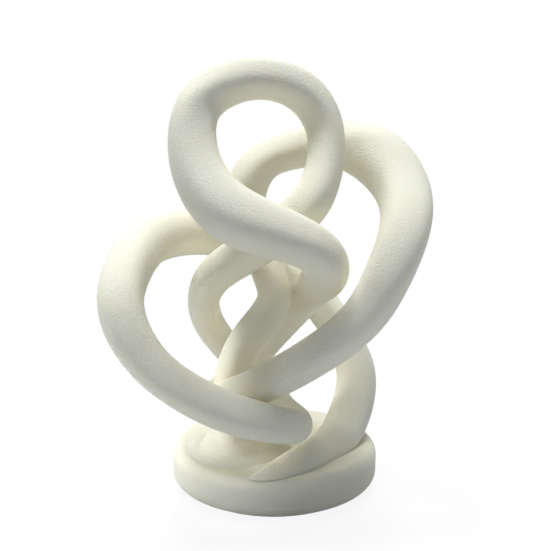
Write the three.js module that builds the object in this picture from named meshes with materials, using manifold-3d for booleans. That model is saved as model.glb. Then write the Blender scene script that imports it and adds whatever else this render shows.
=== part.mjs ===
// Knot sculpture: one thick strand in three open loops, standing on a round base.
// Millimetres, +Z up, front towards -Y, origin at the middle of the felt pad's underside.
// The strand is cast in six sections that butt together on hidden dowels, and its two
// feet are held to the base by screws from below.

import * as THREE from "three";
import { mergeVertices } from "three/addons/utils/BufferGeometryUtils.js";
import Module from "manifold-3d";

const wasm = await Module();
wasm.setup();

// Knot, from the base to its top
const KNOT_HEIGHT = 178;

// Base, its ballast and its pad
const BASE_DIAMETER = 95;
const BASE_HEIGHT = 18.2;
const BASE_TOP_ROUNDING = 5;
const BASE_FOOT_ROUNDING = 6;
const WEIGHT_DIAMETER = 70;
const WEIGHT_HEIGHT = 7;
const WEIGHT_CHAMFER = 0.8;
const FELT_DIAMETER = 80;
const FELT_THICKNESS = 1.5;

// Dowels in the strand's joints
const DOWEL_DIAMETER = 5;
const DOWEL_LENGTH = 18;
const DOWEL_CHAMFER = 0.6;

// Screws, washers and threaded inserts under the strand's feet
const SCREW_DIAMETER = 4;
const SCREW_HEAD_DIAMETER = 7;
const SCREW_HEAD_HEIGHT = 3;
const SCREW_KEY_SIZE = 2.5;
const SCREW_KEY_DEPTH = 1.6;
const SCREW_KEY_SIDES = 6;
const WASHER_DIAMETER = 9;
const WASHER_THICKNESS = 0.8;
const INSERT_DIAMETER = 7;
const INSERT_LENGTH = 8;

// Gap between pieces that touch
const FIT_GAP = 0.3;

// Facets
const STRAND_SIDES = 16;
const STRAND_STEP = 5;
const BASE_SIDES = 48;
const SMALL_SIDES = 20;
const ROUNDING_STEPS = 5;

// The strand's route from its back foot to its front foot, laid out for a knot of this height.
// Each point is x, y, height above the base and thickness there, and each section
// starts at its joint with the one before it.
const ROUTE_HEIGHT = 178;
const ROUTE = {
  pillar: [
    [-18, -10, -1, 44], [-18, -10, 3, 33], [-18, -10, 8, 25], [-18, -12, 15, 20], [-19, -16, 26, 17],
    [-19, -18, 38, 15], [-14, -17, 52, 15], [-5, -15, 64, 15], [0, -11, 73, 15], [-2, -4, 82, 16],
    [-6, 5, 93, 18],
  ],
  right_loop: [
    [-13, 7, 111, 19], [-7, 12, 128, 18], [7, 18, 134, 18], [28, 19, 137, 22], [45, 10, 133, 27],
    [56, -9, 121, 25], [55, -31, 107, 23], [47, -43, 90, 21], [33, -45, 69, 19], [-1, -40, 44, 17],
    [-13, -38, 38, 16], [-27, -33, 32, 15], [-37, -20, 28, 15], [-36, -5, 23, 15], [-27, 7, 20, 15],
    [-14, 13, 33, 16],
  ],
  top_loop: [
    [0, 12, 51, 17], [8, 10, 61, 18], [14, 4, 69, 18], [20, -12, 80, 19], [22, -37, 93, 20],
    [15, -46, 104, 20], [-14, -45, 116, 25], [-28, -37, 127, 24], [-34, -27, 141, 22],
    [-32, -17, 158, 20], [-20, -11, 167, 19], [-5, -7, 169, 18], [12, -4, 163, 18], [22, -7, 147, 17],
    [20, -20, 127, 17],
  ],
  side_bend: [
    [12, -27, 115, 18], [-11, -16, 95, 18], [-26, -1, 81, 17], [-33, 17, 64, 16], [-29, 36, 42, 15],
    [-16, 42, 24, 16],
  ],
  left_loop: [
    [-4, 22, 16, 18], [3, -3, 16, 16], [9, -31, 20, 16], [-3, -52, 29, 17], [-22, -57, 37, 18],
    [-40, -57, 47, 18], [-54, -54, 59, 19], [-64, -45, 77, 21], [-62, -24, 91, 21], [-52, 4, 97, 22],
  ],
  right_leg: [
    [-22, 38, 89, 20], [-2, 43, 78, 20], [17, 37, 63, 19], [31, 28, 45, 18], [39, 17, 26, 20],
    [34, 4, 8, 21], [29, -5, 3, 20], [23, -13, 0, 19], [8, -31, -2, 18], [-11, -45, -9, 16],
  ],
};

// Points of the route, counted within their section, over which the feet's screws stand
const SCREW_POINTS = { pillar: 1, right_leg: 6 };

// Heights
const baseBottom = FELT_THICKNESS + FIT_GAP;
const baseTop = baseBottom + BASE_HEIGHT;
const weightTop = baseBottom + WEIGHT_HEIGHT;
const recessCeiling = weightTop + FIT_GAP;
const screwHeadTop = recessCeiling + SCREW_HEAD_HEIGHT;
const washerBottom = screwHeadTop + FIT_GAP;
const washerTop = washerBottom + WASHER_THICKNESS;
const counterboreTop = washerTop + FIT_GAP;
const footBottom = baseTop + FIT_GAP;
const insertTop = footBottom + INSERT_LENGTH;

const UP = new THREE.Vector3(0, 0, 1);

// A natural cubic spline through the route's points, carrying the thickness along with it
class StrandRoute extends THREE.Curve {
  constructor(points) {
    super();
    this.points = points;
    this.knots = [0];
    for (let i = 1; i < points.length; i += 1) {
      const chord = Math.hypot(...[0, 1, 2].map((axis) => points[i][axis] - points[i - 1][axis]));
      this.knots.push(this.knots[i - 1] + Math.sqrt(chord));
    }
    this.bends = points[0].map((_, column) => this.bendsOf(column));
  }

  // Second derivatives at the knots, none at either end, by elimination down and back up
  bendsOf(column) {
    const { knots, points } = this;
    const last = points.length - 1;
    const slope = (i) => (points[i + 1][column] - points[i][column]) / (knots[i + 1] - knots[i]);
    const carried = [0];
    const bends = [0];
    for (let i = 1; i < last; i += 1) {
      const before = knots[i] - knots[i - 1];
      const after = knots[i + 1] - knots[i];
      const pivot = 2 * (before + after) - before * carried[i - 1];
      carried.push(after / pivot);
      bends.push((6 * (slope(i) - slope(i - 1)) - before * bends[i - 1]) / pivot);
    }
    bends.push(0);
    for (let i = last - 1; i > 0; i -= 1) {
      bends[i] -= carried[i] * bends[i + 1];
    }
    return bends;
  }

  valueAt(knot, column) {
    const { knots, points } = this;
    let i = 0;
    while (i < knots.length - 2 && knot > knots[i + 1]) {
      i += 1;
    }
    const span = knots[i + 1] - knots[i];
    const right = (knot - knots[i]) / span;
    const left = 1 - right;
    const curl = (share) => (share ** 3 - share) * span ** 2 / 6;
    const straight = left * points[i][column] + right * points[i + 1][column];
    return straight + curl(left) * this.bends[column][i] + curl(right) * this.bends[column][i + 1];
  }

  place(knot) {
    return new THREE.Vector3(...[0, 1, 2].map((axis) => this.valueAt(knot, axis)));
  }

  thickness(knot) {
    return this.valueAt(knot, 3);
  }
}

// The stretch of the route between two knots, less a gap at either end
class Stretch extends THREE.Curve {
  constructor(route, from, to, gapBefore, gapAfter) {
    super();
    this.route = route;
    this.from = from;
    this.to = to;
    const length = this.getLength();
    const start = this.knotAt(gapBefore / length);
    const end = this.knotAt(1 - gapAfter / length);
    this.from = start;
    this.to = end;
    this.needsUpdate = true;
  }

  knot(t) {
    return THREE.MathUtils.lerp(this.from, this.to, t);
  }

  knotAt(share) {
    return this.knot(this.getUtoTmapping(share));
  }

  getPoint(t) {
    return this.route.place(this.knot(t));
  }
}

// A round tube along a stretch, as thick as the strand is there, closed by flat ends
function tube(stretch) {
  const steps = Math.round(stretch.getLength() / STRAND_STEP);
  const frames = stretch.computeFrenetFrames(steps);
  const positions = [];
  const index = [];
  for (let i = 0; i <= steps; i += 1) {
    const knot = stretch.knotAt(i / steps);
    const centre = stretch.route.place(knot);
    const radius = stretch.route.thickness(knot) / 2;
    for (let j = 0; j < STRAND_SIDES; j += 1) {
      const angle = (2 * Math.PI * j) / STRAND_SIDES;
      const point = centre.clone();
      point.addScaledVector(frames.normals[i], radius * Math.cos(angle));
      point.addScaledVector(frames.binormals[i], radius * Math.sin(angle));
      positions.push(...point);
    }
  }
  const ring = (i, j) => i * STRAND_SIDES + (j % STRAND_SIDES);
  for (let i = 0; i < steps; i += 1) {
    for (let j = 0; j < STRAND_SIDES; j += 1) {
      index.push(ring(i, j), ring(i, j + 1), ring(i + 1, j + 1));
      index.push(ring(i, j), ring(i + 1, j + 1), ring(i + 1, j));
    }
  }
  for (let j = 1; j < STRAND_SIDES - 1; j += 1) {
    index.push(ring(0, 0), ring(0, j + 1), ring(0, j));
    index.push(ring(steps, 0), ring(steps, j), ring(steps, j + 1));
  }
  const geometry = new THREE.BufferGeometry();
  geometry.setAttribute("position", new THREE.Float32BufferAttribute(positions, 3));
  geometry.setIndex(index);
  return geometry;
}

// A round piece about Z from its half outline, [radius, height] corners
function turned(outline, sides) {
  const corners = outline.map(([radius, height]) => new THREE.Vector2(radius, height));
  return new THREE.LatheGeometry(corners, sides).rotateX(Math.PI / 2);
}

function rod(radius, bottom, top, sides) {
  return turned([[0, bottom], [radius, bottom], [radius, top], [0, top]], sides);
}

function sleeve(inner, outer, bottom, top, sides) {
  return turned([[inner, bottom], [outer, bottom], [outer, top], [inner, top], [inner, bottom]], sides);
}

// A quarter-circle of an outline, from one angle to another
function rounding(radius, height, size, from, to) {
  return Array.from({ length: ROUNDING_STEPS + 1 }, (_, i) => {
    const angle = THREE.MathUtils.lerp(from, to, i / ROUNDING_STEPS);
    return [radius + size * Math.cos(angle), height + size * Math.sin(angle)];
  });
}

function solid(geometry) {
  const bare = geometry.clone();
  bare.deleteAttribute("normal");
  bare.deleteAttribute("uv");
  const merged = mergeVertices(bare);
  return new wasm.Manifold(new wasm.Mesh({
    numProp: 3,
    vertProperties: merged.attributes.position.array,
    triVerts: Uint32Array.from(merged.index.array),
  }));
}

function cut(geometry, cutters) {
  const rest = cutters.reduce((body, cutter) => body.subtract(solid(cutter)), solid(geometry));
  const { vertProperties, triVerts } = rest.getMesh();
  const result = new THREE.BufferGeometry();
  result.setAttribute("position", new THREE.BufferAttribute(vertProperties, 3));
  result.setIndex(new THREE.BufferAttribute(triVerts, 1));
  return result;
}

const sculpture = new THREE.Group();

function addPiece(name, geometry, [color, roughness, metalness]) {
  geometry.computeVertexNormals();
  const piece = new THREE.Mesh(geometry, new THREE.MeshStandardMaterial({ color, roughness, metalness }));
  piece.name = name;
  sculpture.add(piece);
  return piece;
}

// Finishes: colour, roughness, metalness
const CAST_IVORY = ["#ece8dc", 0.6, 0];
const STEEL = ["#8f9296", 0.35, 1];
const BRASS = ["#b5893c", 0.35, 1];
const FELT = ["#cbc6b8", 0.95, 0];

// The route at this knot's height, standing on the base
const spread = KNOT_HEIGHT / ROUTE_HEIGHT;
const sectionNames = Object.keys(ROUTE);
const laidOut = sectionNames.flatMap((name) => ROUTE[name]).map(([x, y, height, thickness]) => [
  x * spread,
  y * spread,
  height * spread + baseTop,
  thickness * spread,
]);
const route = new StrandRoute(laidOut);
const starts = sectionNames.map((_, i) => {
  return sectionNames.slice(0, i).reduce((count, name) => count + ROUTE[name].length, 0);
});
const routeEnd = laidOut.length - 1;

// Screw places under the feet
const feet = Object.fromEntries(Object.entries(SCREW_POINTS).map(([section, point]) => {
  const [x, y] = laidOut[starts[sectionNames.indexOf(section)] + point];
  return [section, { x, y }];
}));

// Dowel places: the middle of each joint, along the strand
const joints = starts.slice(1).map((start) => {
  const knot = route.knots[start];
  const middle = route.place(knot);
  const nudge = 1e-3;
  const along = route.place(knot + nudge).sub(route.place(knot - nudge)).normalize();
  return { middle, turn: new THREE.Quaternion().setFromUnitVectors(UP, along) };
});

function dowelHole({ middle, turn }) {
  const reach = DOWEL_LENGTH / 2 + FIT_GAP;
  const hole = rod(DOWEL_DIAMETER / 2 + FIT_GAP, -reach, reach, SMALL_SIDES);
  return hole.applyQuaternion(turn).translate(middle.x, middle.y, middle.z);
}

// Strand sections
sectionNames.forEach((name, i) => {
  const isFirst = i === 0;
  const isLast = i === sectionNames.length - 1;
  const from = route.knots[starts[i]];
  const to = route.knots[isLast ? routeEnd : starts[i + 1]];
  const gapBefore = isFirst ? 0 : FIT_GAP / 2;
  const gapAfter = isLast ? 0 : FIT_GAP / 2;
  const cutters = joints.slice(Math.max(i - 1, 0), i + 1).map(dowelHole);
  if (feet[name]) {
    const { x, y } = feet[name];
    const insertHole = rod(INSERT_DIAMETER / 2 + FIT_GAP, baseBottom, insertTop + FIT_GAP, SMALL_SIDES);
    cutters.push(insertHole.translate(x, y, 0));
    cutters.push(rod(BASE_DIAMETER, -BASE_HEIGHT, footBottom, BASE_SIDES));
  }
  addPiece(name, cut(tube(new Stretch(route, from, to, gapBefore, gapAfter)), cutters), CAST_IVORY);
});

// Dowels
joints.forEach(({ middle, turn }, i) => {
  const radius = DOWEL_DIAMETER / 2;
  const half = DOWEL_LENGTH / 2;
  const pin = turned([
    [0, -half],
    [radius - DOWEL_CHAMFER, -half],
    [radius, DOWEL_CHAMFER - half],
    [radius, half - DOWEL_CHAMFER],
    [radius - DOWEL_CHAMFER, half],
    [0, half],
  ], SMALL_SIDES);
  const dowel = addPiece(`dowel_${i + 1}`, pin, STEEL);
  dowel.position.copy(middle);
  dowel.quaternion.copy(turn);
});

// Base disc: rounded edges, hollow below for the ballast, bored for the two screws
const baseRadius = BASE_DIAMETER / 2;
const weightRadius = WEIGHT_DIAMETER / 2;
const recessRadius = weightRadius + FIT_GAP;
const footCentre = [baseRadius - BASE_FOOT_ROUNDING, baseBottom + BASE_FOOT_ROUNDING];
const topCentre = [baseRadius - BASE_TOP_ROUNDING, baseTop - BASE_TOP_ROUNDING];
const baseBody = turned([
  [0, recessCeiling],
  [recessRadius, recessCeiling],
  [recessRadius, baseBottom],
  ...rounding(...footCentre, BASE_FOOT_ROUNDING, -Math.PI / 2, 0),
  ...rounding(...topCentre, BASE_TOP_ROUNDING, 0, Math.PI / 2),
  [0, baseTop],
], BASE_SIDES);
const screwHoles = Object.values(feet).flatMap(({ x, y }) => [
  rod(WASHER_DIAMETER / 2 + FIT_GAP, weightTop, counterboreTop, SMALL_SIDES).translate(x, y, 0),
  rod(SCREW_DIAMETER / 2 + FIT_GAP, weightTop, footBottom, SMALL_SIDES).translate(x, y, 0),
]);
addPiece("base_disc", cut(baseBody, screwHoles), CAST_IVORY);

// Ballast and pad
addPiece("base_weight", turned([
  [0, baseBottom],
  [weightRadius - WEIGHT_CHAMFER, baseBottom],
  [weightRadius, baseBottom + WEIGHT_CHAMFER],
  [weightRadius, weightTop - WEIGHT_CHAMFER],
  [weightRadius - WEIGHT_CHAMFER, weightTop],
  [0, weightTop],
], BASE_SIDES), STEEL);
addPiece("felt_pad", rod(FELT_DIAMETER / 2, 0, FELT_THICKNESS, BASE_SIDES), FELT);

// Fixings under each foot
Object.entries(feet).forEach(([section, { x, y }]) => {
  const shankRadius = SCREW_DIAMETER / 2;
  const headRadius = SCREW_HEAD_DIAMETER / 2;
  const shankHole = shankRadius + FIT_GAP;
  const screwBody = turned([
    [0, recessCeiling],
    [headRadius, recessCeiling],
    [headRadius, screwHeadTop],
    [shankRadius, screwHeadTop],
    [shankRadius, insertTop],
    [0, insertTop],
  ], SMALL_SIDES);
  const keyRadius = SCREW_KEY_SIZE / 2 / Math.cos(Math.PI / SCREW_KEY_SIDES);
  const keyTop = recessCeiling + SCREW_KEY_DEPTH;
  const screw = cut(screwBody, [rod(keyRadius, weightTop, keyTop, SCREW_KEY_SIDES)]);
  const washer = sleeve(shankHole, WASHER_DIAMETER / 2, washerBottom, washerTop, SMALL_SIDES);
  const insert = sleeve(shankHole, INSERT_DIAMETER / 2, footBottom, insertTop, SMALL_SIDES);
  addPiece(`${section}_screw`, screw, STEEL).position.set(x, y, 0);
  addPiece(`${section}_washer`, washer, STEEL).position.set(x, y, 0);
  addPiece(`${section}_insert`, insert, BRASS).position.set(x, y, 0);
});

export default sculpture;
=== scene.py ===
# %% [markdown]
# # An ivory knot sculpture
# The object is a desk ornament: one thick, softly rounded strand that loops through itself three
# times and stands on a round base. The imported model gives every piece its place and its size. This
# lesson dresses those pieces: a smooth strand swept by Geometry Nodes, a turned base, a cast
# finish with a fine grain, and a plain studio to see them in.

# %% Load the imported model
import math

import bpy
import bmesh
import numpy as np
from mathutils import Matrix, Vector


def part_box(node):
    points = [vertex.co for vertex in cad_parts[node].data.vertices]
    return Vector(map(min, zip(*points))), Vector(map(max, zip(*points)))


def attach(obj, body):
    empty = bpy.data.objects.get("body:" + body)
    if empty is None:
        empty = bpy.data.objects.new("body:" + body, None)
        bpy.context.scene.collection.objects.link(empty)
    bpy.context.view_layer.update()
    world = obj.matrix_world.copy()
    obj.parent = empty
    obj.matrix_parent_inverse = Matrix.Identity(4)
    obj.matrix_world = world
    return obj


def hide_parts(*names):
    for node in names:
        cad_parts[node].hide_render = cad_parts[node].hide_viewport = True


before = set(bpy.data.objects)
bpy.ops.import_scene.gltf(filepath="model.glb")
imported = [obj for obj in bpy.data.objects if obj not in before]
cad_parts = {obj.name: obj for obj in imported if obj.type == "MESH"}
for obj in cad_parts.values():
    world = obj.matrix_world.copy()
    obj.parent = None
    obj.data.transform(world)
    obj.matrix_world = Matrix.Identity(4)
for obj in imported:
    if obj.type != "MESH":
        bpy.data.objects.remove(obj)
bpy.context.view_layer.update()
MM = 0.001


print("packed pieces:", len(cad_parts))

# %% [markdown]
# ## Camera
# The photograph looks straight at the front from a little above. A long lens keeps the strand
# from bulging towards the viewer. The camera stands about half a metre away. It is pitched down
# and not rolled, and it needs no lens shift.

# %% Camera at the photograph's angle
CAMERA_PLACE = Vector((0.6, -550, 244)) * MM
CAMERA_PITCH = math.radians(14.68)
CAMERA_LENS = 82.1
SENSOR_WIDTH = 36


def add_object(name, data):
    """A new object in the scene that shows this data."""
    made = bpy.data.objects.new(name, data)
    bpy.context.scene.collection.objects.link(made)
    return made


camera_data = bpy.data.cameras.new("camera")
camera_data.lens = CAMERA_LENS
camera_data.sensor_width = SENSOR_WIDTH
camera = add_object("camera", camera_data)
camera.location = CAMERA_PLACE
camera.rotation_euler = (math.pi / 2 - CAMERA_PITCH, 0, 0)
bpy.context.scene.camera = camera
print("camera looks", round(math.degrees(CAMERA_PITCH), 1), "degrees down")

# %% [markdown]
# ## Writing nodes as sums
# Shaders and Geometry Nodes are both graphs of small nodes. A graph is easier to read as an
# expression, so one class wraps a node's output and lets Python's operators add Math nodes.
# Every other kind of node comes from its one method, which sets the node's settings first and
# then its sockets.

# %% A wrapper for node sockets
class Wire:
    """An output of a node tree. Arithmetic on it adds Math nodes to the tree."""

    def __init__(self, tree, socket=None):
        self.tree = tree
        self.socket = socket

    def node(self, kind, settings=None, inputs=None, output=0):
        """A new node: its settings come first, then the values or wires of its sockets."""
        made = self.tree.nodes.new(kind)
        for name, value in (settings or {}).items():
            setattr(made, name, value)
        for name, value in (inputs or {}).items():
            if isinstance(value, Wire):
                self.tree.links.new(value.socket, made.inputs[name])
            elif isinstance(value, list):
                for wire in value:
                    self.tree.links.new(wire.socket, made.inputs[name])
            else:
                made.inputs[name].default_value = value
        return Wire(self.tree, made.outputs[output])

    def math(self, operation, *values):
        return self.node("ShaderNodeMath", {"operation": operation}, dict(enumerate(values)))

    def __add__(self, other):
        return self.math("ADD", self, other)

    def __sub__(self, other):
        return self.math("SUBTRACT", self, other)

    def __rsub__(self, other):
        return self.math("SUBTRACT", other, self)

    def __mul__(self, other):
        return self.math("MULTIPLY", self, other)

    def __truediv__(self, other):
        return self.math("DIVIDE", self, other)

    def __rtruediv__(self, other):
        return self.math("DIVIDE", other, self)

    def __gt__(self, other):
        return self.math("GREATER_THAN", self, other)

    __radd__ = __add__
    __rmul__ = __mul__


# A Mix node holds sockets for vectors and for colours under the same names, so they are picked by
# number: the first value, the second value and the result.
MIX_SOCKETS = {"VECTOR": (4, 5, 1), "RGBA": (6, 7, 2)}


def mix(start, kind, factor, first, second):
    """A blend of two vectors or two colours."""
    first_socket, second_socket, result = MIX_SOCKETS[kind]
    values = {"Factor": factor, first_socket: first, second_socket: second}
    return start.node("ShaderNodeMix", {"data_type": kind}, values, output=result)


# %% [markdown]
# ## Cast ivory
# The strand and the base are one matte off-white casting. Close up it has a fine sandy grain,
# which shows best where the light only grazes it, and very slight clouds of warmer colour. Light
# goes a little way into such a casting, so a small amount of subsurface scattering warms the
# places where two strands face each other. A picture of the grain would have to be wrapped round
# every bend, so noise makes it instead. All patterns read Object coordinates: every piece keeps
# its place in its mesh, so the grain runs on across the joints between them.

# %% A start for every material
def new_material(name, **constants):
    """A material with one Principled shader. Constant values go straight onto its sockets."""
    material = bpy.data.materials.new(name)
    material.use_nodes = True
    shader = material.node_tree.nodes["Principled BSDF"]
    for socket, value in constants.items():
        shader.inputs[socket.replace("_", " ")].default_value = value
    return material, shader, Wire(material.node_tree)


def connect(shader, **varying):
    """Links what changes over a surface to the shader's sockets."""
    for socket, wire in varying.items():
        wire.tree.links.new(wire.socket, shader.inputs[socket.replace("_", " ")])


def blend_colours(start, factor, first, second):
    return mix(start, "RGBA", factor, (*first, 1), (*second, 1))


def object_place(start):
    return start.node("ShaderNodeTexCoord", output="Object")


def noise(start, place, size, detail):
    """Noise whose grains are about this size in millimetres."""
    sizes = {"Vector": place, "Scale": 1 / (size * MM), "Detail": detail}
    return start.node("ShaderNodeTexNoise", {}, sizes)


def relief(start, height, strength, depth):
    """A bumpy surface, with hollows of this depth in millimetres."""
    sizes = {"Height": height, "Strength": strength, "Distance": depth * MM}
    return start.node("ShaderNodeBump", {}, sizes)


def between(low, high, share):
    return low + share * (high - low)


# %% The casting's grain
IVORY = (0.92, 0.885, 0.745)
IVORY_WARM = (0.915, 0.865, 0.665)
IVORY_ROUGHNESS = (0.5, 0.7)
CLOUD_SIZE = 30
GRAIN_SIZE = 0.9
DUST_SIZE = GRAIN_SIZE / 3
GRAIN_SHARE = 0.7
GRAIN_DEPTH = 0.5

ivory, shader, start = new_material(
    "ivory casting",
    Subsurface_Weight=0.2,
    Subsurface_Radius=(1.0, 0.82, 0.45),
    Subsurface_Scale=6 * MM,
    Specular_IOR_Level=0.35,
)
place = object_place(start)
grain = noise(start, place, GRAIN_SIZE, detail=3)
dust = noise(start, place, DUST_SIZE, detail=2)
clouds = noise(start, place, CLOUD_SIZE, detail=3)
height = grain * GRAIN_SHARE + dust * (1 - GRAIN_SHARE)
connect(
    shader,
    Base_Color=blend_colours(start, clouds, IVORY, IVORY_WARM),
    Roughness=between(*IVORY_ROUGHNESS, grain),
    Normal=relief(start, height, strength=1.0, depth=GRAIN_DEPTH),
)
print(ivory.name, "has", len(ivory.node_tree.nodes), "nodes")

# %% [markdown]
# ## Steel, brass and felt
# Inside are a steel ballast disc, steel pins and screws, and brass inserts. Under the base is a
# felt pad. Steel is drawn with streaks along one direction, brass with fine turning rings, and
# felt with tangled fibres. The same noise serves for all three: squeezed along one axis it turns
# into streaks or rings, and left as it is it looks like fibres.

# %% The other finishes
STEEL_LIGHT = (0.60, 0.61, 0.63)
STEEL_DARK = (0.48, 0.49, 0.51)
BRASS_LIGHT = (0.76, 0.58, 0.27)
BRASS_DARK = (0.62, 0.45, 0.18)
METAL_ROUGHNESS = (0.25, 0.45)
STREAK_SIZE = 1.5
STREAK_SQUEEZE = 12
STREAK_DEPTH = 0.1
FELT_LIGHT = (0.78, 0.76, 0.70)
FELT_DARK = (0.66, 0.64, 0.58)
FELT_ROUGHNESS = (0.85, 1.0)
FIBRE_SIZE = 0.5
FIBRE_DEPTH = 0.4


def streaked_metal(name, light, dark, squeezing):
    """A metal with fine streaks across the axis along which the noise is squeezed."""
    material, shader, start = new_material(name, Metallic=1.0)
    place = start.node("ShaderNodeMapping", {}, {"Vector": object_place(start), "Scale": squeezing})
    streaks = noise(start, place, STREAK_SIZE, detail=4)
    connect(
        shader,
        Base_Color=blend_colours(start, streaks, dark, light),
        Roughness=between(*METAL_ROUGHNESS, streaks),
        Normal=relief(start, streaks, strength=0.1, depth=STREAK_DEPTH),
    )
    return material


steel = streaked_metal("bright steel", STEEL_LIGHT, STEEL_DARK, (1, STREAK_SQUEEZE, 1))
brass = streaked_metal("turned brass", BRASS_LIGHT, BRASS_DARK, (1, 1, STREAK_SQUEEZE))

felt, shader, start = new_material("cream felt", Sheen_Weight=0.4, Sheen_Roughness=0.6)
fibres = noise(start, object_place(start), FIBRE_SIZE, detail=5)
connect(
    shader,
    Base_Color=blend_colours(start, fibres, FELT_DARK, FELT_LIGHT),
    Roughness=between(*FELT_ROUGHNESS, fibres),
    Normal=relief(start, fibres, strength=0.8, depth=FIBRE_DEPTH),
)
print("finishes:", [material.name for material in (ivory, steel, brass, felt)])

# %% [markdown]
# ## The strand's route
# The strand is laid out through a few points: across, back, height above the base and
# thickness, in millimetres. Handles at every point would be slow to set and would leave kinks, so
# a spline that bends as little as it can joins the points into one smooth route. The strand is
# cast in six sections, and each section starts at its joint with the one before it.

# %% Points of the route
ROUTE = {
    "pillar": [
        (-18, -10, -0.5, 50), (-18, -10, 0.5, 43), (-18, -10, 2, 36.5), (-18, -10, 4, 31),
        (-18, -10, 8, 25), (-18, -12, 15, 20), (-19, -16, 26, 17), (-19, -18, 38, 15),
        (-14, -17, 52, 15), (-5, -15, 64, 15), (0, -11, 73, 15), (-2, -4, 82, 16), (-6, 5, 93, 18),
    ],
    "right_loop": [
        (-13, 7, 111, 19), (-7, 12, 128, 18), (7, 18, 134, 18), (28, 19, 137, 22),
        (45, 10, 133, 27), (56, -9, 121, 25), (55, -31, 107, 23), (47, -43, 90, 21),
        (33, -45, 69, 19), (-1, -40, 44, 17), (-13, -38, 38, 16), (-27, -33, 32, 15),
        (-37, -20, 28, 15), (-36, -5, 23, 15), (-27, 7, 20, 15), (-14, 13, 33, 16),
    ],
    "top_loop": [
        (0, 12, 51, 17), (8, 10, 61, 18), (14, 4, 69, 18), (20, -12, 80, 19), (22, -37, 93, 20),
        (15, -46, 104, 20), (-14, -45, 116, 25), (-28, -37, 127, 24), (-34, -27, 141, 22),
        (-32, -17, 158, 20), (-20, -11, 167, 19), (-5, -7, 169, 18), (12, -4, 163, 18),
        (22, -7, 147, 17), (20, -20, 127, 17),
    ],
    "side_bend": [
        (12, -27, 115, 18), (-11, -16, 95, 18), (-26, -1, 81, 17), (-33, 17, 64, 16),
        (-29, 36, 42, 15), (-16, 42, 24, 16),
    ],
    "left_loop": [
        (-4, 22, 16, 18), (3, -3, 16, 16), (9, -31, 20, 16), (-3, -52, 29, 17), (-22, -57, 37, 18),
        (-40, -57, 47, 18), (-54, -54, 59, 19), (-64, -45, 77, 21), (-62, -24, 91, 21),
        (-52, 4, 97, 22),
    ],
    "right_leg": [
        (-22, 38, 89, 20), (-2, 43, 78, 20), (17, 37, 63, 19), (31, 28, 45, 18), (39, 17, 26, 20),
        (34, 4, 8, 21), (29, -5, 3, 20), (23, -13, 0, 19), (8, -31, -2, 18), (-11, -45, -9, 16),
    ],
}


def lengths(rows):
    return np.linalg.norm(rows, axis=1)


def running_sum(steps):
    """Nothing at first, and then the sum of the steps so far."""
    return np.concatenate([[0], np.cumsum(steps)])


base_low, base_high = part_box("base_disc")
points = np.array([point for section in ROUTE.values() for point in section], float) * MM
points[:, 2] += base_high.z
knots = running_sum(np.sqrt(lengths(np.diff(points[:, :3], axis=0))))
print("route:", len(points), "points")


# %% The smoothest curve through them
FINE_POINTS = 2000


def spline_bends(knots, values):
    """Second derivatives at the knots of the natural cubic spline through the values."""
    gaps = np.diff(knots)
    slopes = np.diff(values, axis=0) / gaps[:, None]
    matrix = np.eye(len(knots))
    turns = np.zeros_like(values)
    for i in range(1, len(knots) - 1):
        matrix[i, i - 1:i + 2] = gaps[i - 1], 2 * (gaps[i - 1] + gaps[i]), gaps[i]
        turns[i] = 6 * (slopes[i] - slopes[i - 1])
    return np.linalg.solve(matrix, turns)


bends = spline_bends(knots, points)


def on_route(where):
    """Place and thickness of the strand at these knot values."""
    i = np.clip(np.searchsorted(knots, where) - 1, 0, len(knots) - 2)
    span = (knots[i + 1] - knots[i])[:, None]
    after = ((where - knots[i])[:, None]) / span
    before = 1 - after
    straight = before * points[i] + after * points[i + 1]
    curl = (before ** 3 - before) * bends[i] + (after ** 3 - after) * bends[i + 1]
    return straight + curl * span ** 2 / 6


def route_between(first, last):
    """Many knot values between two points of the route, and the length of strand up to each."""
    fine = np.linspace(knots[first], knots[last], FINE_POINTS)
    return fine, running_sum(lengths(np.diff(on_route(fine)[:, :3], axis=0)))


_, whole_run = route_between(0, -1)
print("strand is about", round(whole_run[-1] / MM), "mm long")

# %% [markdown]
# ## Sweeping the strand
# A round section swept along a path is what Curve to Mesh is for. Each section of the route goes
# in as a line of points with a thickness on each, and the tree turns it into a curve, gives the
# curve that thickness, sweeps a circle along it and closes the ends. The circle may carry flutes,
# so that the same tree makes the grooved pins later on. The strand isn't quite round: four soft
# ridges run along it, and one of them faces outwards, where it parts the bright upper face from
# the grey lower one. After the sweep, the points between the ridges are drawn in towards the
# route. Where the strand itself runs outwards, the ridges fade. Edges that turn sharply stay
# sharp, so the flat ends don't spoil the smooth shading of the sides. A last very short step at
# each end squares the end to the route, so that two sections meet without a gap.

# %% Help for node trees
SHARP_ANGLE = math.radians(40)


def new_tree(name, **sizes):
    """A Geometry Nodes tree with a geometry input and output, and named inputs for its sizes."""
    tree = bpy.data.node_groups.new(name, "GeometryNodeTree")
    tree.interface.new_socket("Geometry", in_out="OUTPUT", socket_type="NodeSocketGeometry")
    tree.interface.new_socket("Geometry", in_out="INPUT", socket_type="NodeSocketGeometry")
    for size, kind in sizes.items():
        tree.interface.new_socket(size, in_out="INPUT", socket_type="NodeSocket" + kind)
    group = tree.nodes.new("NodeGroupInput")
    given = {socket.name: Wire(tree, socket) for socket in group.outputs if socket.name}
    return Wire(tree), given


def shade_smooth(geometry):
    """Smooth faces, with a crease along every edge that turns sharply."""
    angle = geometry.node("GeometryNodeInputMeshEdgeAngle")
    smooth = geometry.node("GeometryNodeSetShadeSmooth", {"domain": "FACE"}, {0: geometry})
    return geometry.node(
        "GeometryNodeSetShadeSmooth",
        {"domain": "EDGE"},
        {0: smooth, "Selection": angle > SHARP_ANGLE, "Shade Smooth": False},
    )


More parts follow.
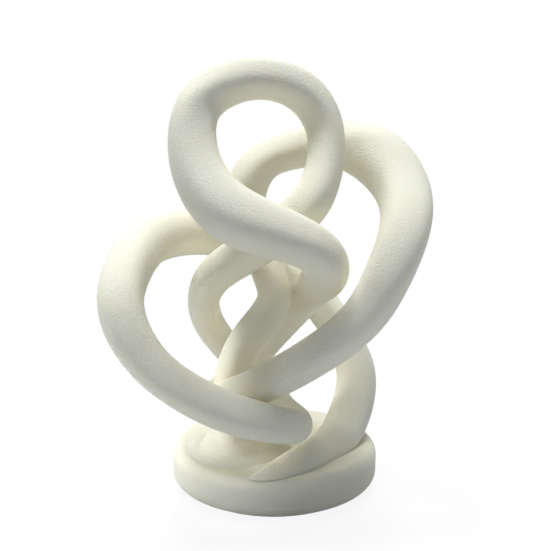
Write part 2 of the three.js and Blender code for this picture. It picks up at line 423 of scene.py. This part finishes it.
def end_tree(geometry, material):
    """The last nodes of every tree: real geometry, smooth shading and a material."""
    real = geometry.node("GeometryNodeRealizeInstances", {}, {"Geometry": geometry})
    smooth = shade_smooth(real)
    finished = real.node("GeometryNodeSetMaterial", {}, {"Geometry": smooth, "Material": material})
    output = geometry.tree.nodes.new("NodeGroupOutput")
    geometry.tree.links.new(finished.socket, output.inputs[0])
    return geometry.tree


def round_place(start):
    """Angle round the Z axis and height of every point."""
    place = start.node("GeometryNodeInputPosition")
    x, y, z = (start.node("ShaderNodeSeparateXYZ", {}, {0: place}, output=axis) for axis in range(3))
    return start.math("ARCTAN2", y, x), z


def squeeze(geometry, share):
    """Moves every point towards the Z axis, to this share of its distance."""
    place = geometry.node("GeometryNodeInputPosition")
    scale = geometry.node("ShaderNodeCombineXYZ", {}, {0: share, 1: share, 2: 1.0})
    moved = geometry.node("ShaderNodeVectorMath", {"operation": "MULTIPLY"}, {0: place, 1: scale})
    return geometry.node("GeometryNodeSetPosition", {}, {"Geometry": geometry, "Position": moved})


# %% The sweep as a node tree
RIDGES = 4


def stored(start, name, kind):
    """A value that the points carry under this name."""
    return start.node("GeometryNodeInputNamedAttribute", {"data_type": kind}, {"Name": name})


start, given = new_tree("ridged sweep", Sides="Int", Flutes="Int", Flute_Depth="Float", Material="Material")
curve = start.node("GeometryNodeMeshToCurve", {}, {"Mesh": given["Geometry"]})
facing = stored(start, "facing", "FLOAT_VECTOR")
path = start.node("GeometryNodeSetCurveNormal", {"mode": "FREE"}, {"Curve": curve, "Normal": facing})

circle = start.node("GeometryNodeCurvePrimitiveCircle", {}, {"Resolution": given["Sides"], "Radius": 1.0})
angle, _ = round_place(start)
hollow = 0.5 - start.math("COSINE", angle * RIDGES) * 0.5
marking = {"Geometry": circle, "Name": "hollow", "Value": hollow}
marked = start.node("GeometryNodeStoreNamedAttribute", {}, marking)
groove = start.math("MAXIMUM", start.math("COSINE", angle * given["Flutes"]), 0.0)
section = squeeze(marked, 1 - groove * given["Flute_Depth"])

radius = stored(start, "thickness", "FLOAT") * 0.5
sweeping = {"Curve": path, "Profile Curve": section, "Scale": radius, "Fill Caps": True}
tube = start.node("GeometryNodeCurveToMesh", {}, sweeping)
place = start.node("GeometryNodeInputPosition")
centre = stored(start, "centre", "FLOAT_VECTOR")
ridge_share = stored(start, "hollow", "FLOAT") * stored(start, "ridge", "FLOAT")
drawn_in = mix(start, "VECTOR", ridge_share, place, centre)
ridged = start.node("GeometryNodeSetPosition", {}, {"Geometry": tube, "Position": drawn_in})
sweep = end_tree(ridged, given["Material"])
print(sweep.name, "has", len(sweep.nodes), "nodes")


# %% Lines of points for the sweep
RIDGE_CENTRE = np.array((0, 60, 0)) * MM
LEVEL = np.array((1, 1, 0))
RIDGE_FADE = (0.25, 0.7)


def line_mesh(name, places, thicknesses, ridge_depth=0.0):
    """A line of points. Each has a thickness, and a depth and a direction for its ridges."""
    spots = np.array(places)
    along = np.gradient(spots, axis=0)
    along /= lengths(along)[:, None]
    outwards = (spots - RIDGE_CENTRE) * LEVEL
    outwards /= lengths(outwards)[:, None]
    facing = outwards - along * np.sum(along * outwards, axis=1, keepdims=True)
    clear = lengths(facing)
    facing /= clear[:, None]
    mesh = bpy.data.meshes.new(name)
    mesh.from_pydata(places, [(i, i + 1) for i in range(len(places) - 1)], [])
    numbers = {"thickness": thicknesses, "ridge": np.interp(clear, RIDGE_FADE, (0, ridge_depth))}
    for key, values in numbers.items():
        mesh.attributes.new(key, "FLOAT", "POINT").data.foreach_set("value", values)
    for key, values in {"facing": facing, "centre": spots}.items():
        mesh.attributes.new(key, "FLOAT_VECTOR", "POINT").data.foreach_set("vector", values.ravel())
    return mesh


# %% Running a tree
def settle(piece):
    """Keeps what a piece's modifiers make as its plain mesh."""
    graph = bpy.context.evaluated_depsgraph_get()
    made = bpy.data.meshes.new_from_object(piece.evaluated_get(graph))
    piece.modifiers.clear()
    piece.data = made


def grow(name, host_mesh, tree, **inputs):
    """Runs a tree on a host mesh and keeps what it makes as a plain mesh object."""
    piece = add_object(name, host_mesh)
    modifier = piece.modifiers.new("tree", "NODES")
    modifier.node_group = tree
    for item in tree.interface.items_tree:
        if item.in_out == "INPUT" and item.name in inputs:
            modifier[item.identifier] = inputs[item.name]
    settle(piece)
    return piece


# %% The six sections
STRAND_SIDES = 64
STRAND_RIDGE = 0.07
STRAND_STEP = 1.0 * MM
END_STEP = 0.03 * MM

names = list(ROUTE)
dressed = []
castings = {}
first_points = {}
first = 0
for name in names:
    last = min(first + len(ROUTE[name]), len(knots) - 1)
    fine, run = route_between(first, last)
    stations = np.linspace(0, run[-1], round(run[-1] / STRAND_STEP) + 1)
    stations = np.insert(stations, [1, -1], [END_STEP, run[-1] - END_STEP])
    stretch = on_route(np.interp(stations, run, fine))
    host = line_mesh(name, stretch[:, :3].tolist(), stretch[:, 3].tolist(), STRAND_RIDGE)
    casting = grow(name + "_casting", host, sweep, Sides=STRAND_SIDES, Material=ivory)
    castings[name] = casting
    first_points[name] = first
    dressed.append((casting, name, "cast_ivory"))
    print(name, "is", round(run[-1] / MM), "mm long, with", len(casting.data.polygons), "faces")
    first = last

# %% [markdown]
# ## Bores and flat feet
# Hidden pins hold the sections together end to end, so both sides of every joint have a bore. The
# two feet are cut off flat where they meet the base, and bored for the threaded inserts of their
# screws. Everything taken away is a round rod, so each casting needs one Boolean modifier with
# its rods.

# %% Cutting with rods
ROD_SIDES = 48


def crease(mesh):
    """Smooth faces, with a sharp edge wherever the surface turns sharply."""
    work = bmesh.new()
    work.from_mesh(mesh)
    for face in work.faces:
        face.smooth = True
    for edge in work.edges:
        edge.smooth = edge.calc_face_angle(0) < SHARP_ANGLE
    work.to_mesh(mesh)
    work.free()


def cut_rods(piece, rods):
    """Takes rods away from a piece. A rod is its two ends and its radius."""
    work = bmesh.new()
    for low, high, radius in rods:
        along = high - low
        place = Matrix.Translation((low + high) / 2) @ along.to_track_quat("Z", "Y").to_matrix().to_4x4()
        bmesh.ops.create_cone(
            work, cap_ends=True, segments=ROD_SIDES, radius1=radius, radius2=radius,
            depth=along.length, matrix=place,
        )
    mesh = bpy.data.meshes.new("rods")
    work.to_mesh(mesh)
    work.free()
    cutter = add_object("rods", mesh)
    modifier = piece.modifiers.new("rods", "BOOLEAN")
    modifier.object = cutter
    settle(piece)
    bpy.data.objects.remove(cutter)
    crease(piece.data)


# %% Joints and their bores
FIT_GAP = 0.3 * MM
DOWEL_RADIUS = 2.5 * MM
DOWEL_LENGTH = 18 * MM
# How far to look along the knots on both sides of a joint, to find the strand's direction there.
JOINT_STEP = 1e-4

bore_radius = DOWEL_RADIUS + FIT_GAP
bore_reach = DOWEL_LENGTH / 2 + FIT_GAP
joints = []
bores = []
for name in names[1:]:
    around = knots[first_points[name]] + np.array((-JOINT_STEP, 0, JOINT_STEP))
    before, middle, after = (Vector(place[:3]) for place in on_route(around))
    along = (after - before).normalized()
    joints.append((middle, along))
    bores.append((middle - along * bore_reach, middle + along * bore_reach, bore_radius))
print("bored joints:", len(joints))

# %% Feet and all the cutting
SCREW_RADIUS = 2 * MM
INSERT_RADIUS = 3.5 * MM
FOOT_CUT_RADIUS = 95 * MM
UP = Vector((0, 0, 1))
# Which point of the section's route stands over the screw of each foot.
SCREW_POINTS = {"pillar": 1, "right_leg": 6}

feet = {}
foot_cut = (Vector(), UP * base_high.z, FOOT_CUT_RADIUS)
for i, name in enumerate(names):
    rods = bores[max(i - 1, 0):i + 1]
    if name in SCREW_POINTS:
        foot = Vector((*ROUTE[name][SCREW_POINTS[name]][:2], 0)) * MM
        feet[name] = foot
        _, insert_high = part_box(name + "_insert")
        insert_bore = (foot, foot + UP * (insert_high.z + FIT_GAP), INSERT_RADIUS + FIT_GAP)
        rods = [*rods, insert_bore, foot_cut]
    cut_rods(castings[name], rods)
    print(name, "after cutting:", len(castings[name].data.polygons), "faces")

# %% [markdown]
# ## The base
# The base is a turned disc with generously rounded edges. A bevelled cylinder would come close,
# but an outline also takes in the hollow below. So the outline is drawn once, as half a section,
# and spun round the axis. Small facets would show on its large smooth rim, so the roundings and
# the turn have many steps.

# %% Turning an outline
WELD_DISTANCE = 0.001 * MM


def turned(name, outline, sides, material, foot=Vector()):
    """A closed round piece over a foot point, from its half outline of (radius, height) corners."""
    mesh = bpy.data.meshes.new(name)
    work = bmesh.new()
    corners = [work.verts.new((radius, 0, height)) for radius, height in outline]
    edges = [work.edges.new(pair) for pair in zip(corners, corners[1:])]
    bmesh.ops.spin(
        work, geom=corners + edges, axis=UP, cent=(0, 0, 0), angle=2 * math.pi, steps=sides,
        use_merge=True,
    )
    bmesh.ops.remove_doubles(work, verts=work.verts, dist=WELD_DISTANCE)
    bmesh.ops.recalc_face_normals(work, faces=work.faces)
    work.to_mesh(mesh)
    work.free()
    crease(mesh)
    mesh.transform(Matrix.Translation(foot))
    mesh.materials.append(material)
    return add_object(name, mesh)


def rounding(radius, height, size, start_angle, end_angle, steps=12):
    """Corners of an outline along an arc round this middle."""
    angles = np.linspace(start_angle, end_angle, steps + 1)
    return [(radius + size * math.cos(a), height + size * math.sin(a)) for a in angles]


# %% The base
BASE_SIDES = 160
TOP_ROUNDING = 5 * MM
FOOT_ROUNDING = 6 * MM

weight_low, weight_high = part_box("base_weight")
base_radius = base_high.x
recess_radius = weight_high.x + FIT_GAP
recess_ceiling = weight_high.z + FIT_GAP
base_outline = [
    (0, recess_ceiling),
    (recess_radius, recess_ceiling),
    (recess_radius, base_low.z),
    *rounding(base_radius - FOOT_ROUNDING, base_low.z + FOOT_ROUNDING, FOOT_ROUNDING, -math.pi / 2, 0),
    *rounding(base_radius - TOP_ROUNDING, base_high.z - TOP_ROUNDING, TOP_ROUNDING, 0, math.pi / 2),
    (0, base_high.z),
]
base = turned("base_casting", base_outline, BASE_SIDES, ivory)
dressed.append((base, "base_disc", "cast_ivory"))
screw_holes = []
for name, foot in feet.items():
    washer_low, washer_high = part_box(name + "_washer")
    washer_radius = (washer_high.x - washer_low.x) / 2
    low = foot + UP * weight_high.z
    screw_holes.append((low, foot + UP * (washer_high.z + FIT_GAP), washer_radius + FIT_GAP))
    screw_holes.append((low, foot + UP * (base_high.z + FIT_GAP), SCREW_RADIUS + FIT_GAP))
cut_rods(base, screw_holes)
print("base is", round(2 * base_radius / MM, 1), "mm across")

# %% The pad under it
FELT_ROUNDING = 0.5 * MM
FELT_STEPS = 4

felt_low, felt_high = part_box("felt_pad")
felt_inside = felt_high.x - FELT_ROUNDING
felt_outline = [
    (0, felt_low.z),
    *rounding(felt_inside, felt_low.z + FELT_ROUNDING, FELT_ROUNDING, -math.pi / 2, 0, FELT_STEPS),
    *rounding(felt_inside, felt_high.z - FELT_ROUNDING, FELT_ROUNDING, 0, math.pi / 2, FELT_STEPS),
    (0, felt_high.z),
]
pad = turned("felt_underlay", felt_outline, BASE_SIDES, felt)
dressed.append((pad, "felt_pad", "felt"))
print("pad is", round(2 * felt_high.x / MM, 1), "mm across")

# %% [markdown]
# ## Hidden fixings
# Inside the castings are the pieces that hold them. The pins are grooved along their length, so
# that glue can escape, and are swept by the same tree as the strand. The screws and the brass
# inserts carry a thread. A thread is a rod whose points are drawn in by a wave that climbs one
# pitch with every turn, and a knurl is a wave round the rim. Both are made once as node trees
# and set on a point under each foot.

# %% Grooved pins
PIN_SIDES = 72
PIN_FLUTES = 12
PIN_FLUTE_DEPTH = 0.06
PIN_CHAMFER = 0.6 * MM

pin_reach = DOWEL_LENGTH / 2
pin_stations = (-pin_reach, PIN_CHAMFER - pin_reach, pin_reach - PIN_CHAMFER, pin_reach)
narrow = 2 * (DOWEL_RADIUS - PIN_CHAMFER)
wide = 2 * DOWEL_RADIUS
for i, (middle, along) in enumerate(joints, 1):
    places = [middle + along * station for station in pin_stations]
    host = line_mesh("pin", places, [narrow, wide, wide, narrow])
    pin = grow(
        f"grooved_pin_{i}", host, sweep, Sides=PIN_SIDES, Flutes=PIN_FLUTES,
        Flute_Depth=PIN_FLUTE_DEPTH, Material=steel,
    )
    dressed.append((pin, f"dowel_{i}", "steel"))
print("pins:", len(joints))

# %% Threads and knurls
THREAD_PITCH = 0.7 * MM
THREAD_DEPTH = 0.3 * MM
THREAD_STEPS = 6
THREAD_SIDES = 32
KNURLS = 30
KNURL_POINTS = 4
KNURL_DEPTH = 0.02


def cylinder(start, sides, segments, radius, length):
    sizes = {"Vertices": sides, "Side Segments": segments, "Radius": radius, "Depth": length}
    return start.node("GeometryNodeMeshCylinder", {}, sizes)


def lifted(geometry, height):
    offset = geometry.node("ShaderNodeCombineXYZ", {}, {2: height})
    return geometry.node("GeometryNodeTransform", {}, {"Geometry": geometry, "Translation": offset})


def threaded_rod(start, radius, length):
    rod = cylinder(start, THREAD_SIDES, length * (THREAD_STEPS / THREAD_PITCH), radius, length)
    angle, height = round_place(start)
    turns = height / THREAD_PITCH - angle / (2 * math.pi)
    groove = start.math("PINGPONG", turns, 0.5) * 2
    return squeeze(rod, 1 - groove * (THREAD_DEPTH / radius))


def knurled_rod(start, radius, length):
    rod = cylinder(start, KNURLS * KNURL_POINTS, 1, radius, length)
    angle, _ = round_place(start)
    return squeeze(rod, (1 - KNURL_DEPTH) + start.math("COSINE", angle * KNURLS) * KNURL_DEPTH)


def combine(operation, **meshes):
    """A Mesh Boolean of node geometry. Underscores in the names stand for spaces."""
    inputs = {name.replace("_", " "): mesh for name, mesh in meshes.items()}
    first = meshes["Mesh_2"][0]
    return first.node("GeometryNodeMeshBoolean", {"operation": operation, "solver": "MANIFOLD"}, inputs)


def on_points(given, shape):
    return shape.node("GeometryNodeInstanceOnPoints", {}, {"Points": given["Geometry"], "Instance": shape})


# %% Screws and inserts as node trees
SCREW_HEAD_RADIUS = 3.5 * MM
KEY_SIDES = 6
KEY_RADIUS = 1.25 * MM / math.cos(math.pi / KEY_SIDES)
BORE_OVERLENGTH = 1.2

start, given = new_tree("cap screw", Shank="Float", Head="Float", Key_Depth="Float", Material="Material")
rod_length = given["Shank"] + given["Head"] * 0.5
shank = lifted(threaded_rod(start, SCREW_RADIUS, rod_length), given["Shank"] - rod_length * 0.5)
head = lifted(knurled_rod(start, SCREW_HEAD_RADIUS, given["Head"]), given["Head"] * -0.5)
key = lifted(cylinder(start, KEY_SIDES, 1, KEY_RADIUS, given["Key_Depth"] * 2), given["Head"] * -1)
keyed_screw = combine("DIFFERENCE", Mesh_1=combine("UNION", Mesh_2=[shank, head]), Mesh_2=[key])
screw_tree = end_tree(on_points(given, keyed_screw), given["Material"])

start, given = new_tree("threaded insert", Length="Float", Material="Material")
body = knurled_rod(start, INSERT_RADIUS, given["Length"])
bore_length = given["Length"] * BORE_OVERLENGTH
bore = threaded_rod(start, SCREW_RADIUS + FIT_GAP + THREAD_DEPTH, bore_length)
bored_insert = lifted(combine("DIFFERENCE", Mesh_1=body, Mesh_2=[bore]), given["Length"] * 0.5)
insert_tree = end_tree(on_points(given, bored_insert), given["Material"])
print([(tree.name, len(tree.nodes)) for tree in (screw_tree, insert_tree)], "nodes")

# %% Fixings under each foot
KEY_DEPTH = 1.6 * MM
WASHER_EDGE = 0.15 * MM
WASHER_SIDES = 64


def point_mesh(place):
    mesh = bpy.data.meshes.new("spot")
    mesh.from_pydata([place], [], [])
    return mesh


def chamfered_disc(inner, outer, low, high, edge):
    """Half outline of a disc or ring with both outer edges broken."""
    return [
        (inner, low), (outer - edge, low), (outer, low + edge), (outer, high - edge),
        (outer - edge, high), (inner, high),
    ]


for name, foot in feet.items():
    screw_low, screw_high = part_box(name + "_screw")
    washer_low, washer_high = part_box(name + "_washer")
    insert_low, insert_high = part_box(name + "_insert")
    head_top = washer_low.z - FIT_GAP
    screw = grow(
        name + "_cap_screw", point_mesh(foot + UP * head_top), screw_tree,
        Shank=screw_high.z - head_top, Head=head_top - screw_low.z, Key_Depth=KEY_DEPTH, Material=steel,
    )
    insert = grow(
        name + "_threaded_insert", point_mesh(foot + UP * insert_low.z), insert_tree,
        Length=insert_high.z - insert_low.z, Material=brass,
    )
    inner = SCREW_RADIUS + FIT_GAP
    outer = (washer_high.x - washer_low.x) / 2
    ring = chamfered_disc(inner, outer, washer_low.z, washer_high.z, WASHER_EDGE)
    washer = turned(name + "_plain_washer", ring + ring[:1], WASHER_SIDES, steel, foot)
    dressed.append((screw, name + "_screw", "steel"))
    dressed.append((washer, name + "_washer", "steel"))
    dressed.append((insert, name + "_insert", "brass"))
    print(name, "screw and insert have", [len(piece.data.polygons) for piece in (screw, insert)], "faces")

# %% Ballast
WEIGHT_CHAMFER = 0.8 * MM

weight_outline = chamfered_disc(0, weight_high.x, weight_low.z, weight_high.z, WEIGHT_CHAMFER)
ballast = turned("ballast_disc", weight_outline, BASE_SIDES, steel)
dressed.append((ballast, "base_weight", "steel"))
print("ballast is", round(2 * weight_high.x / MM, 1), "mm across")

# %% [markdown]
# ## Studio
# The ornament stands on a plain pale floor in front of nothing. The floor and the world look
# white to the camera and in reflections, but they light the ornament only as a pale floor and an
# even soft sky would. Close to the base the floor still takes the ornament's shadow, and further
# out it fades to plain white. It lies a hair below the felt, because two faces in one plane would
# flicker. Two lamps high above and a weaker one behind at the left make the bright upper faces and
# the grey front faces that give the strand its depth. A small spot lamp, low at the left, shines
# under the left loop onto the foot of the strand and the top of the base.

# %% What the camera sees as white
WHITE = (1, 1, 1)


def seen_directly(start):
    """One for a ray from the camera, a mirror or a glass, and nothing for a ray of soft light."""
    camera_ray, glossy_ray, clear_ray = (
        start.node("ShaderNodeLightPath", output=f"Is {kind} Ray")
        for kind in ("Camera", "Glossy", "Transmission")
    )
    return camera_ray + glossy_ray + clear_ray


# %% Floor
FLOOR_SIZE = 6.0
FLOOR_HEIGHT = -0.1 * MM
FLOOR_COLOUR = (0.48, 0.49, 0.51)
FLOOR_GLOW = 0.9
FADE_START = 0.12
FADE_END = 0.35

half = FLOOR_SIZE / 2
floor_corners = [(x * half, y * half, FLOOR_HEIGHT) for x, y in ((-1, -1), (1, -1), (1, 1), (-1, 1))]
floor_mesh = bpy.data.meshes.new("floor")
floor_mesh.from_pydata(floor_corners, [], [(0, 1, 2, 3)])
floor = add_object("floor", floor_mesh)
floor_material, shader, start = new_material("floor", Roughness=0.9)
connect(shader, Base_Color=blend_colours(start, seen_directly(start), FLOOR_COLOUR, WHITE))
place = object_place(start)
distance = start.node("ShaderNodeVectorMath", {"operation": "LENGTH"}, {0: place}, output="Value")
far = start.node(
    "ShaderNodeMapRange",
    {"interpolation_type": "SMOOTHSTEP"},
    {"Value": distance, "From Min": FADE_START, "From Max": FADE_END},
)
white_share = seen_directly(start) * between(FLOOR_GLOW, 1, far)
glow = start.node("ShaderNodeEmission", {}, {"Strength": 1.0})
lit = Wire(start.tree, shader.outputs[0])
seen = start.node("ShaderNodeMixShader", {}, {0: white_share, 1: lit, 2: glow})
output = floor_material.node_tree.nodes["Material Output"]
floor_material.node_tree.links.new(seen.socket, output.inputs["Surface"])
floor_mesh.materials.append(floor_material)
print("floor turns plain white", FADE_END, "m from the middle")

# %% World
SKY = (0.162, 0.179, 0.214)

world = bpy.data.worlds.new("studio")
bpy.context.scene.world = world
world.use_nodes = True
start = Wire(world.node_tree)
sky = blend_colours(start, seen_directly(start), SKY, WHITE)
world.node_tree.links.new(sky.socket, world.node_tree.nodes["Background"].inputs["Color"])
bpy.context.scene.view_settings.view_transform = "Standard"
print("sky lights the ornament with", SKY)

# %% Lamps
LAMP_COLOUR = (0.92, 0.957, 1.0)
LAMPS = {
    "top left": {"comes_from": Vector((-0.26, 0.1, 0.96)), "strength": 2.0, "spread": math.radians(16)},
    "top back": {"comes_from": Vector((0.14, 0.28, 0.95)), "strength": 1.6, "spread": math.radians(16)},
    "back left": {"comes_from": Vector((-0.6, 0.6, 0.53)), "strength": 0.5, "spread": math.radians(30)},
}
LOW_LAMP_PLACE = Vector((-300, -100, 130)) * MM
LOW_LAMP_AIM = Vector((-22, -14, 30)) * MM
LOW_LAMP_POWER = 3.5
LOW_LAMP_CONE = math.radians(18)
LOW_LAMP_BLEND = 1.0
LOW_LAMP_RADIUS = 40 * MM


def add_lamp(name, kind, strength, direction, **settings):
    """A lamp that shines in this direction."""
    data = bpy.data.lights.new(name, kind)
    data.energy = strength
    data.color = LAMP_COLOUR
    for key, value in settings.items():
        setattr(data, key, value)
    lamp = add_object(name, data)
    lamp.rotation_euler = direction.to_track_quat("-Z", "Y").to_euler()
    return lamp


for name, lamp in LAMPS.items():
    add_lamp(name, "SUN", lamp["strength"], -lamp["comes_from"], angle=lamp["spread"])
    print(name, "lamp stands", round(math.degrees(lamp["comes_from"].angle(UP))), "degrees off upright")

low_lamp = add_lamp(
    "low left", "SPOT", LOW_LAMP_POWER, LOW_LAMP_AIM - LOW_LAMP_PLACE,
    spot_size=LOW_LAMP_CONE, spot_blend=LOW_LAMP_BLEND, shadow_soft_size=LOW_LAMP_RADIUS,
)
low_lamp.location = LOW_LAMP_PLACE

# %% [markdown]
# ## Joining the dress to the model
# Each finished piece takes the place of its node in the imported model and rides on the one rigid
# body.

# %% Ride and replace
for piece, node, finish in dressed:
    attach(piece, "root")
    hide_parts(node)
